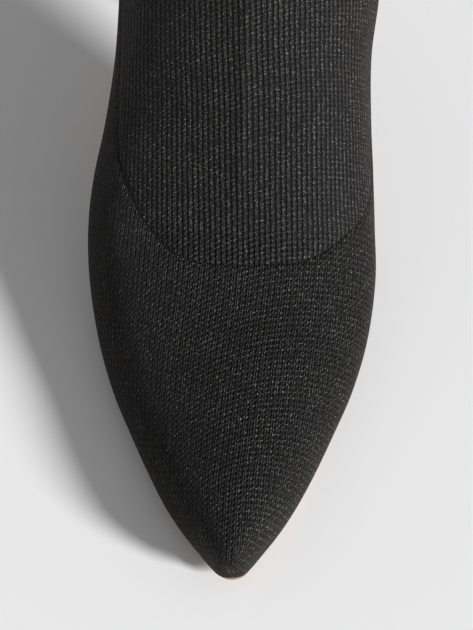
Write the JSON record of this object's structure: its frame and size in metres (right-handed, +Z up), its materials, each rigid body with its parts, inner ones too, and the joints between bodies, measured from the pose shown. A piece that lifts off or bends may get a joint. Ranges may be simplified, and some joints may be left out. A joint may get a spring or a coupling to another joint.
{
  "type": "over-the-knee boot",
  "caption": "Knit over-the-knee boot for the right foot, with a pointed toe, a slim block heel, a thin outsole and a turned hem at the collar.",
  "frame": {"origin": "middle of the heel tip's ground face", "axes": "+Z up the shaft, -Y towards the toe, +X towards the inner side of the right foot"},
  "size_m": [0.1236, 0.2478, 0.65],
  "materials": {
    "knit": "ribbed black knit with a soft sheen",
    "sole": "smooth tan, matt",
    "sock": "matt lining leather",
    "heel_cover": "covered in black cloth",
    "top_piece": "matt black"
  },
  "bodies": {
    "root": {"upper": "knit", "outsole": "sole", "insole": "sock", "heel": "heel_cover", "heel_tip": "top_piece"}
  },
  "joints": []
}
